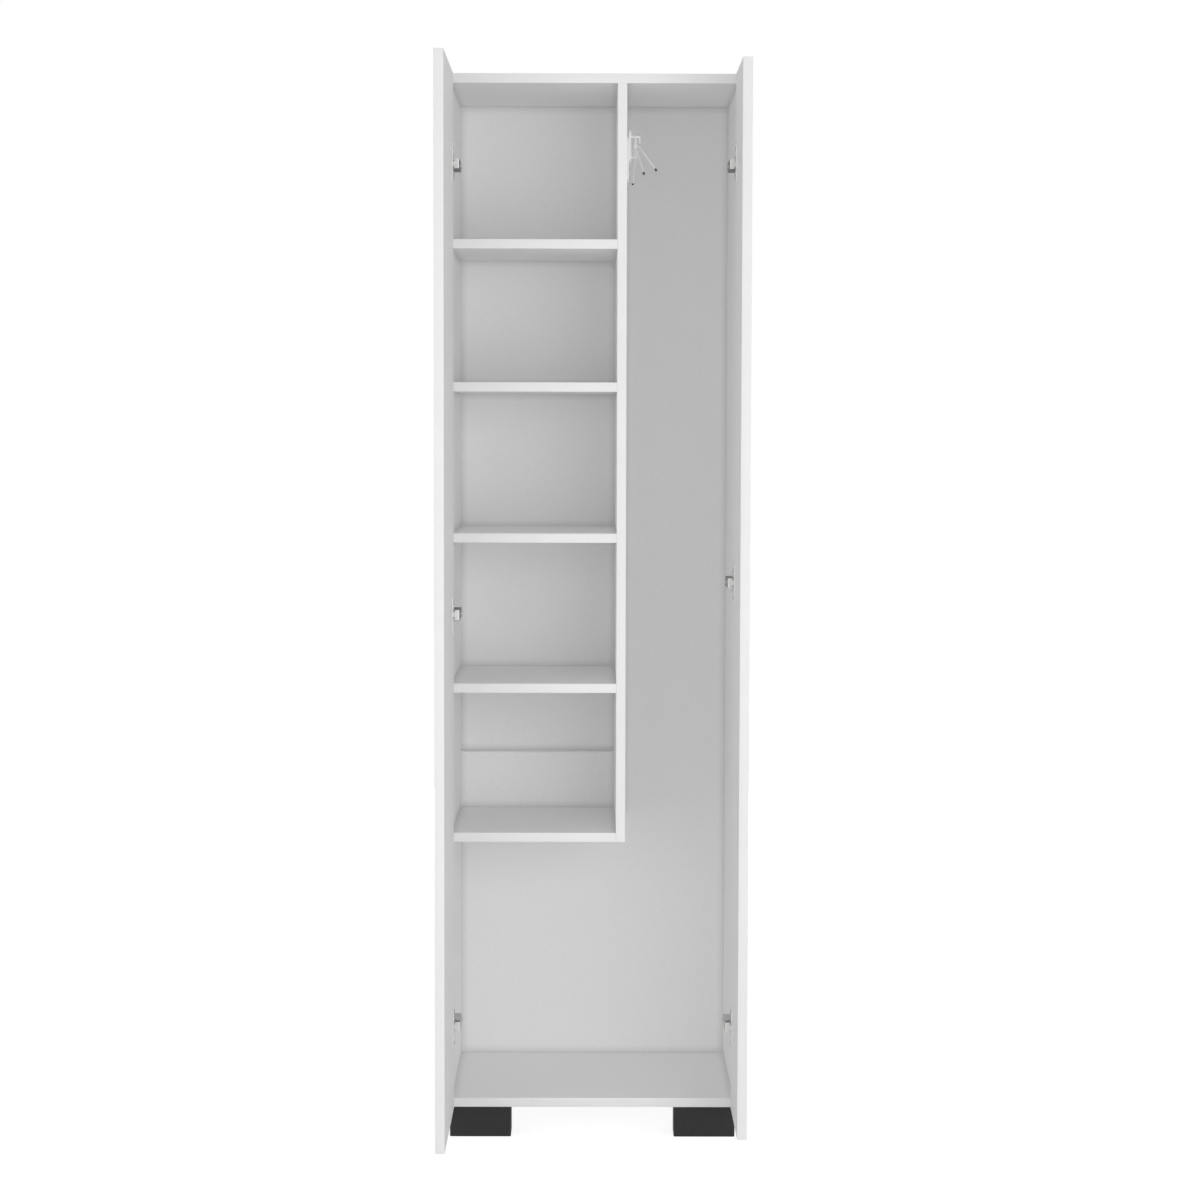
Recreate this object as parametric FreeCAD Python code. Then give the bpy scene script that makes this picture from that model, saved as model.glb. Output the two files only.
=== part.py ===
"""Broom cupboard of white melamine board, with both doors open at a right angle.

The left column holds five compartments, the right one is a tall bay, and both stand over a
full-width space at the bottom. X runs to the right as seen from the front, +Y towards the back,
+Z up, in millimetres. The origin is on the floor, at the centre of the footprint with open doors.
"""
import FreeCAD, Part
import math
import os

Vector = FreeCAD.Vector
X_AXIS = Vector(1, 0, 0)
Y_AXIS = Vector(0, 1, 0)
Z_AXIS = Vector(0, 0, 1)

# ---- driving dimensions: carcass --------------------------------------------------------------
WIDTH = 520.0                 # over the side boards
HEIGHT = 1830.0               # floor to top
INNER_DEPTH = 350.0           # front edges of the boards to the back sheet
BOARD = 16.0                  # thickness of every melamine board
EDGE_RADIUS = 0.5             # softened front edges
LEFT_COLUMN = 283.5           # clear width of the left column
LOW_SHELF_Z = 516.0           # underside of the lowest shelf and foot of the divider
SHELF_CLEARANCES = (242.5, 242.5, 242.5, 227.0)   # clear heights above the lowest shelf, going up
RAIL_HEIGHT = 102.0           # board across the back of the compartment over the lowest shelf
RAIL_THICKNESS = 28.0
BACK_SHEET = 3.0
BACK_INSET = 2.0              # from the carcass's outline to the back sheet's edge

# ---- driving dimensions: feet -----------------------------------------------------------------
FOOT_HEIGHT = 52.0
FOOT_WIDTH = 106.0
FOOT_DEPTH = 60.0
FOOT_INSET = 12.5             # from the side board's outer face
FOOT_WALL = 3.0
FOOT_TOP = 5.0
FOOT_RIB = 2.0
FOOT_CORNER = 3.0
FOOT_SCREW_FRACTIONS = (0.25, 0.75)   # of the foot's width and depth

# ---- driving dimensions: doors ----------------------------------------------------------------
LEFT_DOOR_WIDTH = 304.0
DOOR_GAP = 3.5                # closed door to the boards' front edges
DOOR_REVEAL = 0.5             # closed door's edge to the side board's outer face
MEETING_GAP = 2.0             # between the closed doors
DOOR_EDGE_RADIUS = 0.8
LEFT_HINGE_HEIGHTS = {"top": 1676.5, "middle": 910.0, "bottom": 196.0}
RIGHT_HINGE_HEIGHTS = {"top": 1676.5, "middle": 965.5, "bottom": 196.0}

# ---- driving dimensions: hinge ----------------------------------------------------------------
# u runs from the side board's inner face into the cupboard, v back from the boards' front edges
PIN_U = -6.7
PIN_V = -14.2
PIN_RADIUS = 1.0
PIN_HALF_LENGTH = 8.0
RUNNING_CLEARANCE = 0.05      # between a pin and what turns on it
CUP_EDGE_DISTANCE = 22.5      # cup's centre to the door's hinge edge
CUP_RADIUS = 17.4
CUP_WALL = 0.6
CUP_DEPTH = 13.0
CUP_FLOOR = 0.5
CUP_BORE_RADIUS = 17.5
CUP_BORE_DEPTH = 13.6
LUG_HALF_WIDTH = 2.2          # blocks in the cup that hold the pin's ends
LUG_START = 5.5
FLANGE_RADIUS = 18.8
FLANGE_THICKNESS = 1.2
FLANGE_LENGTH = 65.0
FLANGE_WIDTH = 14.0
FLANGE_OFFSET = 6.0           # screw line beyond the cup's centre
CUP_SCREW_SPACING = 48.0
ARM_HALF_WIDTH = 8.2
ARM_SHEET = 1.2
ARM_U = 15.0                  # outer face of the arm's web
ARM_BACK = 58.0
ARM_BEND = 2.0                # outer radius of the bend
NECK_V = -15.4                # front face of the neck that reaches into the cup
NECK_HALF_WIDTH = 4.5
SHOULDER_U = 6.5              # where the neck widens
EYE_RADIUS = 1.9
CHEEK_U = 3.0
CHEEK_FRONT = 1.0
CHEEK_SLOPE = 7.0
PLATE_THICKNESS = 2.2
PLATE_FRONT = 10.0
PLATE_BACK = 62.0
PLATE_HALF_WIDTH = 10.0
PLATE_WING_LENGTH = 50.0
PLATE_WING_WIDTH = 14.0
PLATE_SCREW_V = 37.0
PLATE_SCREW_SPACING = 32.0
BOSS_FRONT = 16.0
BOSS_BACK = 54.0
BOSS_HALF_WIDTH = 6.0
ARM_SCREW_V = (22.0, 47.0)
ARM_SCREW_RADIUS = 2.0
ARM_SCREW_REACH = 9.5

# ---- driving dimensions: hook on the divider's right face --------------------------------------
# s runs out from that face
HOOK_DEPTH = 120.0            # its centre line, back from the boards' front edges
HOOK_BASE_BOTTOM = 1657.0
HOOK_BASE_TOP = 1738.0
HOOK_BASE_WIDTH = 20.0
HOOK_BASE_THICKNESS = 5.0
HOOK_RIB_BOTTOM = 1692.0
HOOK_RIB_TOP = 1749.0
HOOK_RIB_WIDTH = 11.0
HOOK_RIB_THICKNESS = 3.5
HOOK_TAB_THICKNESS = 2.5
HOOK_TAB_HALF_WIDTH = 5.5
HOOK_UPPER_TAB_Z = 1734.0     # underside
HOOK_LIP_S = 24.5             # outer face of the lip that the upper tab ends in
HOOK_LIP_THICKNESS = 2.0
HOOK_LIP_Z = 1724.8           # its lower edge
HOOK_PIN_S = 16.2
HOOK_PIN_RADIUS = 2.0
HOOK_PIN_HEAD_RADIUS = 3.2
HOOK_PIN_HEAD_HEIGHT = 1.2
HOOK_SCREW_HEIGHTS = (1665.0, 1682.0)
KNUCKLE_RADIUS = 4.0
KNUCKLE_HEIGHT = 6.6
KNUCKLE_PITCH = 7.0
TOP_KNUCKLE_Z = 1719.2        # its middle
ROD_RADIUS = 1.5
ROD_LEVEL = 7.0               # level run from the pin's axis
ROD_BEND = 8.0
ROD_SLOPE = 41.0              # degrees below level
ROD_LENGTH = 68.0             # sloping run, to the end of the tip
TIP_RADIUS = 2.0
TIP_LENGTH = 4.5
TIP_WALL = 1.5
TIP_ROUND = 1.4
HOOK_ARM_TURNS = {"upper": 56.2, "middle": 77.6, "lower": -93.4}   # degrees from straight out

# ---- driving dimensions: fasteners --------------------------------------------------------------
HOLE_CLEARANCE = 0.05
HOLE_EXTRA = 0.5              # a blind hole is this much deeper than its fastener
LONG_SHANK = 2.5
LONG_REACH = 50.0             # from the outer face to the point
LONG_HEAD = 4.8
LONG_HEAD_HEIGHT = 3.0
LONG_POINT = 4.0
LONG_SOCKET = 2.2             # across the corners, halved
LONG_SOCKET_DEPTH = 2.0
COVER_RADIUS = 5.0
COVER_THICKNESS = 1.0
PANEL_SCREW_DEPTHS = (80.0, 270.0)
SHELF_SCREW_DEPTHS = (60.0, 290.0)
RAIL_SCREW_HEIGHTS = (26.0, 76.0)     # above the rail's lower edge
DOWEL_RADIUS = 4.0
DOWEL_LENGTH = 30.0
DOWEL_IN_FACE = 10.0
DOWEL_CHAMFER = 0.8
PANEL_DOWEL_DEPTHS = (40.0, 310.0)
SHELF_DOWEL_DEPTH = 175.0
SMALL_SHANK = 1.75
SMALL_HEAD = 3.4
SMALL_POINT = 3.0
POINT_RADIUS = 0.3
HEAD_HEIGHT = 1.3
HEAD_ROUND = 0.6
ARM_SCREW_HEAD = 3.5
SLOT_LENGTH = 3.6
SLOT_WIDTH = 0.8
SLOT_DEPTH = 0.8
CUP_SCREW_REACH = 13.0
PLATE_SCREW_REACH = 14.0
HOOK_SCREW_REACH = 15.0
FOOT_SCREW_REACH = 16.0
NAIL_RADIUS = 0.9
NAIL_LENGTH = 22.0
NAIL_HEAD_RADIUS = 2.6
NAIL_HEAD_HEIGHT = 0.6
NAIL_EDGE = 52.0              # from an upright's ends to its first and last nail
SIDE_NAILS = 8
DIVIDER_NAILS = 6

# ---- worked out from them ---------------------------------------------------------------------
HALF = WIDTH / 2
INNER = HALF - BOARD                            # side board's inner face
SIDE_X = HALF - BOARD / 2                       # middle of a side board
TOP_Z = HEIGHT - BOARD                          # underside of the top panel
BOTTOM_Z = FOOT_HEIGHT + BOARD                  # upper face of the bottom panel
DIVIDER_X = LEFT_COLUMN - INNER                 # divider's left face
DIVIDER_RIGHT = DIVIDER_X + BOARD
DIVIDER_MIDDLE = DIVIDER_X + BOARD / 2
LOW_SHELF_TOP = LOW_SHELF_Z + BOARD
BODY_DEPTH = INNER_DEPTH + BACK_SHEET
RIGHT_DOOR_WIDTH = WIDTH - 2 * DOOR_REVEAL - MEETING_GAP - LEFT_DOOR_WIDTH
DOOR_U = PIN_U - PIN_V - DOOR_GAP               # open door's inner face
HINGE_EDGE_V = PIN_V + PIN_U + HALF - DOOR_REVEAL - INNER    # open door's hinge edge
CUP_V = HINGE_EDGE_V - CUP_EDGE_DISTANCE
FLANGE_V = CUP_V - FLANGE_OFFSET
CUP_FLOOR_U = DOOR_U - CUP_DEPTH
WEB_U = ARM_U - ARM_SHEET                       # inner face of the arm's web
OPEN_REACH = LEFT_DOOR_WIDTH - HINGE_EDGE_V     # wider door's free edge, before the carcass's front
FRONT_Y = (OPEN_REACH - BODY_DEPTH) / 2         # front plane of the boards
HOOK_Y = FRONT_Y + HOOK_DEPTH
HOOK_TAB_S = HOOK_BASE_THICKNESS + HOOK_RIB_THICKNESS
KNUCKLE_GAP = KNUCKLE_PITCH - KNUCKLE_HEIGHT
LOW_KNUCKLE_Z = TOP_KNUCKLE_Z - 2 * KNUCKLE_PITCH
HOOK_LOWER_TAB_TOP = LOW_KNUCKLE_Z - KNUCKLE_HEIGHT / 2 - KNUCKLE_GAP
TOUCH = 0.01                                    # tolerance when faces and edges are picked


# ---- helpers ------------------------------------------------------------------------------------
def at(x, depth, z):
    """Point given by its depth behind the front plane of the boards."""
    return Vector(x, FRONT_Y + depth, z)


def box(x0, x1, d0, d1, z0, z1):
    """Block between two corners; d0 and d1 are depths behind the front plane."""
    return Part.makeBox(x1 - x0, d1 - d0, z1 - z0, at(x0, d0, z0))


def cylinder(start, direction, radius, length):
    return Part.makeCylinder(radius, length, start, direction)


def capsule(centre, thickness, length, width):
    """Flat plate with round ends: thickness along X from the centre, length along Z."""
    straight = length - width
    corner = centre - Vector(0, width / 2, straight / 2)
    plate = Part.makeBox(thickness, width, straight, corner)
    ends = [cylinder(centre + Z_AXIS * end, X_AXIS, width / 2, thickness)
            for end in (-straight / 2, straight / 2)]
    return plate.fuse(ends).removeSplitter()


def extruded(points, direction):
    """Solid made by moving a flat outline along a direction."""
    outline = Part.makePolygon(points + [points[0]])
    return Part.Face(outline).extrude(direction)


def placed(shape, point, direction):
    """Copy of a shape made at the origin along +Z, put at a point and turned along a direction."""
    copy = shape.copy()
    copy.Placement = FreeCAD.Placement(point, FreeCAD.Rotation(Z_AXIS, direction))
    return copy


def soften(block, direction, radius):
    """Round the front edges that run along one direction."""
    front = block.BoundBox.YMin + TOUCH
    edges = []
    for edge in block.Edges:
        along = abs(edge.tangentAt(edge.FirstParameter).dot(direction)) > 1 - TOUCH
        if along and edge.BoundBox.YMax < front:
            edges.append(edge)
    return block.makeFillet(radius, edges)


def drilled(shape, holes):
    """Shape less those holes that reach into it."""
    near = [hole for hole in holes if hole.BoundBox.intersect(shape.BoundBox)]
    return shape.cut(near) if near else shape


def mirrored(shape):
    """The same shape on the cupboard's right side."""
    return shape.mirror(Vector(0, 0, 0), X_AXIS)


def save(node, *shapes):
    """Write one sub-part; pieces that share a node stay separate solids."""
    solids = [solid for shape in shapes for solid in shape.Solids]
    whole = solids[0] if len(solids) == 1 else Part.makeCompound(solids)
    whole.exportStep(f"parts/{node}.step")


# ---- fasteners and their holes, made at the origin and driven along +Z ---------------------------
def shaft(radius, length, point_length):
    """Plain shaft that ends in a point."""
    straight = cylinder(Vector(0, 0, 0), Z_AXIS, radius, length - point_length)
    point = Part.makeCone(radius, POINT_RADIUS, point_length, Vector(0, 0, length - point_length))
    return straight.fuse(point)


def round_head(radius):
    """Low round head with a crossed slot, standing on the surface."""
    head = cylinder(Vector(0, 0, -HEAD_HEIGHT), Z_AXIS, radius, HEAD_HEIGHT)
    rim = [edge for edge in head.Edges if edge.BoundBox.ZMax < TOUCH - HEAD_HEIGHT]
    head = head.makeFillet(HEAD_ROUND, rim)
    for wide, deep in ((SLOT_LENGTH, SLOT_WIDTH), (SLOT_WIDTH, SLOT_LENGTH)):
        corner = Vector(-wide / 2, -deep / 2, -HEAD_HEIGHT)
        head = head.cut(Part.makeBox(wide, deep, SLOT_DEPTH, corner))
    return head


def small_screw(reach):
    return shaft(SMALL_SHANK, reach, SMALL_POINT).fuse(round_head(SMALL_HEAD))


def arm_screw():
    stem = cylinder(Vector(0, 0, 0), Z_AXIS, ARM_SCREW_RADIUS, ARM_SCREW_REACH)
    return stem.fuse(round_head(ARM_SCREW_HEAD))


def long_screw():
    """Carcass screw, its head sunk under the surface, with a six-sided socket."""
    screw = shaft(LONG_SHANK, LONG_REACH, LONG_POINT)
    corner = Vector(-LONG_HEAD, -LONG_HEAD, 0)
    screw = screw.cut(Part.makeBox(2 * LONG_HEAD, 2 * LONG_HEAD, COVER_THICKNESS, corner))
    screw = screw.fuse(cylinder(Z_AXIS * COVER_THICKNESS, Z_AXIS, LONG_HEAD, LONG_HEAD_HEIGHT))
    corners = []
    for step in range(6):
        turn = math.radians(60 * step)
        across = Vector(math.cos(turn), math.sin(turn), 0) * LONG_SOCKET
        corners.append(across + Z_AXIS * COVER_THICKNESS)
    return screw.cut(extruded(corners, Z_AXIS * LONG_SOCKET_DEPTH))


def cover():
    return cylinder(Vector(0, 0, 0), Z_AXIS, COVER_RADIUS, COVER_THICKNESS)


def dowel():
    """Wooden pin; its origin is where the two boards meet, with the longer part along +Z."""
    pin = cylinder(Z_AXIS * -DOWEL_IN_FACE, Z_AXIS, DOWEL_RADIUS, DOWEL_LENGTH)
    ends = [edge for edge in pin.Edges if edge.BoundBox.ZLength < TOUCH]
    return pin.makeChamfer(DOWEL_CHAMFER, ends)


def nail():
    head = cylinder(Vector(0, 0, 0), Z_AXIS, NAIL_HEAD_RADIUS, NAIL_HEAD_HEIGHT)
    return shaft(NAIL_RADIUS, NAIL_LENGTH, SMALL_POINT).fuse(head)


def hole(radius, reach):
    return cylinder(Vector(0, 0, 0), Z_AXIS, radius + HOLE_CLEARANCE, reach + HOLE_EXTRA)


def stepped_hole(wide, wide_depth, radius, reach):
    """Hole with a wider mouth for a sunk head."""
    mouth = cylinder(Vector(0, 0, 0), Z_AXIS, wide + HOLE_CLEARANCE, wide_depth)
    return hole(radius, reach).fuse(mouth)


def dowel_hole():
    bottom = Z_AXIS * -(DOWEL_IN_FACE + HOLE_EXTRA)
    return cylinder(bottom, Z_AXIS, DOWEL_RADIUS + HOLE_CLEARANCE, DOWEL_LENGTH + 2 * HOLE_EXTRA)


# ---- where the fasteners go: pairs of a point and the way it points -------------------------------
def shelf_heights():
    """Underside of each board in the left column, the lowest first."""
    heights = {"low_shelf": LOW_SHELF_Z}
    z = LOW_SHELF_Z
    for number, clear in zip((4, 3, 2, 1), SHELF_CLEARANCES):
        z += BOARD + clear
        heights[f"shelf_{number}"] = z
    return heights


def top_screw_places():
    uprights = (-SIDE_X, DIVIDER_MIDDLE, SIDE_X)
    return [(at(x, depth, HEIGHT), -Z_AXIS) for depth in PANEL_SCREW_DEPTHS for x in uprights]


def bottom_screw_places():
    return [(at(x, depth, FOOT_HEIGHT), Z_AXIS) for depth in PANEL_SCREW_DEPTHS for x in (-SIDE_X, SIDE_X)]


def shelf_screw_places():
    """Through the left side board and through the divider, into the ends of what lies between."""
    rows = []
    for z in shelf_heights().values():
        rows += [(depth, z + BOARD / 2) for depth in SHELF_SCREW_DEPTHS]
    rail_middle = INNER_DEPTH - RAIL_THICKNESS / 2
    rows += [(rail_middle, LOW_SHELF_TOP + height) for height in RAIL_SCREW_HEIGHTS]
    places = [(at(-HALF, depth, z), X_AXIS) for depth, z in rows]
    places += [(at(DIVIDER_RIGHT, depth, z), -X_AXIS) for depth, z in rows]
    return places


def dowel_places():
    places = []
    for depth in PANEL_DOWEL_DEPTHS:
        places += [(at(x, depth, TOP_Z), -Z_AXIS) for x in (-SIDE_X, DIVIDER_MIDDLE, SIDE_X)]
        places += [(at(x, depth, BOTTOM_Z), Z_AXIS) for x in (-SIDE_X, SIDE_X)]
    for z in shelf_heights().values():
        places.append((at(-INNER, SHELF_DOWEL_DEPTH, z + BOARD / 2), X_AXIS))
        places.append((at(DIVIDER_X, SHELF_DOWEL_DEPTH, z + BOARD / 2), -X_AXIS))
    return places


def evenly(low, high, count):
    step = (high - low) / (count - 1)
    return [low + step * index for index in range(count)]


def nail_places():
    """Rows up the uprights and one nail or more into each level board."""
    spots = []
    for z in evenly(FOOT_HEIGHT + NAIL_EDGE, HEIGHT - NAIL_EDGE, SIDE_NAILS):
        spots += [(-SIDE_X, z), (SIDE_X, z)]
    for z in evenly(LOW_SHELF_Z + NAIL_EDGE, HEIGHT - NAIL_EDGE, DIVIDER_NAILS):
        spots.append((DIVIDER_MIDDLE, z))
    for x in (-HALF / 2, DIVIDER_MIDDLE + HALF / 2):
        spots.append((x, TOP_Z + BOARD / 2))
        spots.append((x, FOOT_HEIGHT + BOARD / 2))
    for z in shelf_heights().values():
        spots.append((-LEFT_COLUMN / 2 + DIVIDER_X, z + BOARD / 2))
    return [(at(x, BODY_DEPTH, z), -Y_AXIS) for x, z in spots]


def paired_places(heights, sign, face, depth, spacing):
    """Two screws to a hinge, one above and one below its middle; sign is -1 on the left."""
    places = []
    for z in heights:
        for offset in (-spacing / 2, spacing / 2):
            places.append((at(sign * (INNER - face), depth, z + offset), X_AXIS * sign))
    return places


def plate_screw_places(heights, sign):
    return paired_places(heights, sign, PLATE_THICKNESS, PLATE_SCREW_V, PLATE_SCREW_SPACING)


def cup_screw_places(heights, sign):
    return paired_places(heights, sign, DOOR_U + FLANGE_THICKNESS, FLANGE_V, CUP_SCREW_SPACING)


def arm_screw_places(heights, sign):
    return [(at(sign * (INNER - ARM_U), v, z), X_AXIS * sign) for z in heights for v in ARM_SCREW_V]


def on_both_sides(places):
    """Places of one kind for the left door's hinges and the right door's."""
    return places(LEFT_HINGE_HEIGHTS.values(), -1) + places(RIGHT_HINGE_HEIGHTS.values(), 1)


def hook_screw_places():
    x = DIVIDER_RIGHT + HOOK_BASE_THICKNESS
    return [(at(x, HOOK_DEPTH, z), -X_AXIS) for z in HOOK_SCREW_HEIGHTS]


def foot_corners():
    """Lowest x and depth of every foot."""
    left = -HALF + FOOT_INSET
    right = HALF - FOOT_INSET - FOOT_WIDTH
    rear = INNER_DEPTH - FOOT_DEPTH
    return {
        "front_left_foot": (left, 0.0),
        "front_right_foot": (right, 0.0),
        "rear_left_foot": (left, rear),
        "rear_right_foot": (right, rear),
    }


def foot_pockets(x0, d0):
    """The four hollows under a foot, between its walls and its crossed ribs."""
    wide = (FOOT_WIDTH - 2 * FOOT_WALL - FOOT_RIB) / 2
    deep = (FOOT_DEPTH - 2 * FOOT_WALL - FOOT_RIB) / 2
    pockets = []
    for column in (0, 1):
        for row in (0, 1):
            x = x0 + FOOT_WALL + column * (wide + FOOT_RIB)
            d = d0 + FOOT_WALL + row * (deep + FOOT_RIB)
            pockets.append(box(x, x + wide, d, d + deep, 0, FOOT_HEIGHT - FOOT_TOP))
    return pockets


def foot_screw_places():
    """Two screws to a foot, from below, in opposite pockets."""
    places = []
    for x0, d0 in foot_corners().values():
        for fraction in FOOT_SCREW_FRACTIONS:
            x = x0 + FOOT_WIDTH * fraction
            depth = d0 + FOOT_DEPTH * fraction
            places.append((at(x, depth, FOOT_HEIGHT - FOOT_TOP), Z_AXIS))
    return places


def put(shape, places):
    return [placed(shape, point, direction) for point, direction in places]


# ---- carcass --------------------------------------------------------------------------------------
def board_holes():
    """Every hole that reaches into the carcass's boards."""
    long_hole = stepped_hole(COVER_RADIUS, COVER_THICKNESS + LONG_HEAD_HEIGHT, LONG_SHANK, LONG_REACH)
    nail_hole = stepped_hole(NAIL_HEAD_RADIUS, NAIL_HEAD_HEIGHT, NAIL_RADIUS, NAIL_LENGTH)
    holes = put(long_hole, top_screw_places() + bottom_screw_places() + shelf_screw_places())
    holes += put(dowel_hole(), dowel_places())
    holes += put(nail_hole, nail_places())
    holes += put(hole(SMALL_SHANK, PLATE_SCREW_REACH), on_both_sides(plate_screw_places))
    holes += put(hole(SMALL_SHANK, HOOK_SCREW_REACH), hook_screw_places())
    holes += put(hole(SMALL_SHANK, FOOT_SCREW_REACH), foot_screw_places())
    return holes


def carcass():
    """Sides, top, bottom, divider, shelves, rail and back sheet, by node."""
    upright = {
        "left_side": (-HALF, -INNER, BOTTOM_Z),
        "right_side": (INNER, HALF, BOTTOM_Z),
        "divider": (DIVIDER_X, DIVIDER_RIGHT, LOW_SHELF_Z),
    }
    level = {
        "top_panel": (-HALF, HALF, TOP_Z),
        "bottom_panel": (-HALF, HALF, FOOT_HEIGHT),
    }
    for node, z in shelf_heights().items():
        level[node] = (-INNER, DIVIDER_X, z)
    boards = {}
    for node, (x0, x1, z0) in upright.items():
        boards[node] = soften(box(x0, x1, 0, INNER_DEPTH, z0, TOP_Z), Z_AXIS, EDGE_RADIUS)
    for node, (x0, x1, z0) in level.items():
        boards[node] = soften(box(x0, x1, 0, INNER_DEPTH, z0, z0 + BOARD), X_AXIS, EDGE_RADIUS)
    rail_front = INNER_DEPTH - RAIL_THICKNESS
    rail = box(-INNER, DIVIDER_X, rail_front, INNER_DEPTH, LOW_SHELF_TOP, LOW_SHELF_TOP + RAIL_HEIGHT)
    boards["back_rail"] = soften(rail, X_AXIS, EDGE_RADIUS)
    sheet_x = HALF - BACK_INSET
    sheet_bottom = FOOT_HEIGHT + BACK_INSET
    sheet_top = HEIGHT - BACK_INSET
    boards["back_panel"] = box(-sheet_x, sheet_x, INNER_DEPTH, BODY_DEPTH, sheet_bottom, sheet_top)
    holes = board_holes()
    return {node: drilled(board, holes) for node, board in boards.items()}


def foot(x0, d0, holes):
    """Moulded block, hollow underneath, with crossed ribs."""
    block = box(x0, x0 + FOOT_WIDTH, d0, d0 + FOOT_DEPTH, 0, FOOT_HEIGHT)
    corners = [edge for edge in block.Edges if edge.BoundBox.ZLength > FOOT_HEIGHT - TOUCH]
    block = block.makeFillet(FOOT_CORNER, corners)
    return drilled(block.cut(foot_pockets(x0, d0)), holes)


# ---- doors and hinges, made for the left side -----------------------------------------------------
def door(width, heights):
    """Open door, bored for its hinge cups and their screws."""
    inner = -INNER + DOOR_U
    panel = box(inner - BOARD, inner, HINGE_EDGE_V - width, HINGE_EDGE_V, FOOT_HEIGHT, HEIGHT)
    panel = panel.makeFillet(DOOR_EDGE_RADIUS, panel.Edges)
    bores = [cylinder(at(inner - CUP_BORE_DEPTH, CUP_V, z), X_AXIS, CUP_BORE_RADIUS, CUP_BORE_DEPTH)
             for z in heights.values()]
    screws = put(hole(SMALL_SHANK, CUP_SCREW_REACH), cup_screw_places(heights.values(), -1))
    return panel.cut(bores + screws)


def hinge_point(u, v, w):
    return at(-INNER + u, v, w)


def hinge_box(u0, u1, v0, v1, w0, w1):
    return box(-INNER + u0, -INNER + u1, v0, v1, w0, w1)


def hinge_cup(z):
    """Pressed cup with its flange and the two blocks that hold the pin."""
    underside = hinge_point(CUP_FLOOR_U - CUP_FLOOR, CUP_V, z)
    outside = cylinder(underside, X_AXIS, CUP_RADIUS, CUP_DEPTH + CUP_FLOOR)
    disc = cylinder(hinge_point(DOOR_U, CUP_V, z), X_AXIS, FLANGE_RADIUS, FLANGE_THICKNESS)
    bar = capsule(hinge_point(DOOR_U, FLANGE_V, z), FLANGE_THICKNESS, FLANGE_LENGTH, FLANGE_WIDTH)
    floor = hinge_point(CUP_FLOOR_U, CUP_V, z)
    inside = cylinder(floor, X_AXIS, CUP_RADIUS - CUP_WALL, CUP_DEPTH + FLANGE_THICKNESS)
    cup = outside.fuse([disc, bar]).cut(inside)
    lug_front = PIN_V - LUG_HALF_WIDTH
    lug_back = PIN_V + LUG_HALF_WIDTH
    for w0, w1 in ((z + LUG_START, z + CUP_RADIUS), (z - CUP_RADIUS, z - LUG_START)):
        lug = hinge_box(CUP_FLOOR_U, PIN_U + LUG_HALF_WIDTH, lug_front, lug_back, w0, w1)
        cup = cup.fuse(lug.common(inside))
    screws = put(hole(SMALL_SHANK, CUP_SCREW_REACH), cup_screw_places([z], -1))
    return cup.cut([hinge_pin(z)] + screws)


def hinge_pin(z):
    return cylinder(hinge_point(PIN_U, PIN_V, z - PIN_HALF_LENGTH), Z_AXIS, PIN_RADIUS, 2 * PIN_HALF_LENGTH)


def hinge_arm(z):
    """Bent sheet arm: eye on the pin, neck out of the cup, web back over the plate, two cheeks."""
    eye_start = hinge_point(PIN_U, PIN_V, z - NECK_HALF_WIDTH)
    eye = cylinder(eye_start, Z_AXIS, EYE_RADIUS, 2 * NECK_HALF_WIDTH)
    bore = cylinder(eye_start, Z_AXIS, PIN_RADIUS + RUNNING_CLEARANCE, 2 * NECK_HALF_WIDTH)
    neck_back = NECK_V + ARM_SHEET
    neck = hinge_box(PIN_U, SHOULDER_U, NECK_V, neck_back, z - NECK_HALF_WIDTH, z + NECK_HALF_WIDTH)
    outline = [(SHOULDER_U, NECK_V), (ARM_U, NECK_V), (ARM_U, ARM_BACK), (WEB_U, ARM_BACK),
               (WEB_U, neck_back), (SHOULDER_U, neck_back)]
    points = [hinge_point(u, v, z - ARM_HALF_WIDTH) for u, v in outline]
    bent = extruded(points, Z_AXIS * 2 * ARM_HALF_WIDTH)
    for u, v, radius in ((ARM_U, NECK_V, ARM_BEND), (WEB_U, neck_back, ARM_BEND - ARM_SHEET)):
        corner = hinge_point(u, v, z)
        edges = [edge for edge in bent.Edges if edge.CenterOfMass.distanceToPoint(corner) < TOUCH]
        bent = bent.makeFillet(radius, edges)
    side = [(WEB_U, CHEEK_FRONT), (WEB_U, ARM_BACK), (CHEEK_U, ARM_BACK),
            (CHEEK_U, CHEEK_FRONT + CHEEK_SLOPE), (CHEEK_U + CHEEK_SLOPE, CHEEK_FRONT)]
    cheeks = []
    for w in (z - ARM_HALF_WIDTH, z + ARM_HALF_WIDTH - ARM_SHEET):
        cheeks.append(extruded([hinge_point(u, v, w) for u, v in side], Z_AXIS * ARM_SHEET))
    arm = eye.fuse([neck, bent] + cheeks).removeSplitter()
    screw_holes = [cylinder(hinge_point(WEB_U, v, z), X_AXIS, ARM_SCREW_RADIUS + HOLE_CLEARANCE, ARM_SHEET)
                   for v in ARM_SCREW_V]
    return arm.cut([bore] + screw_holes)


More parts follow.
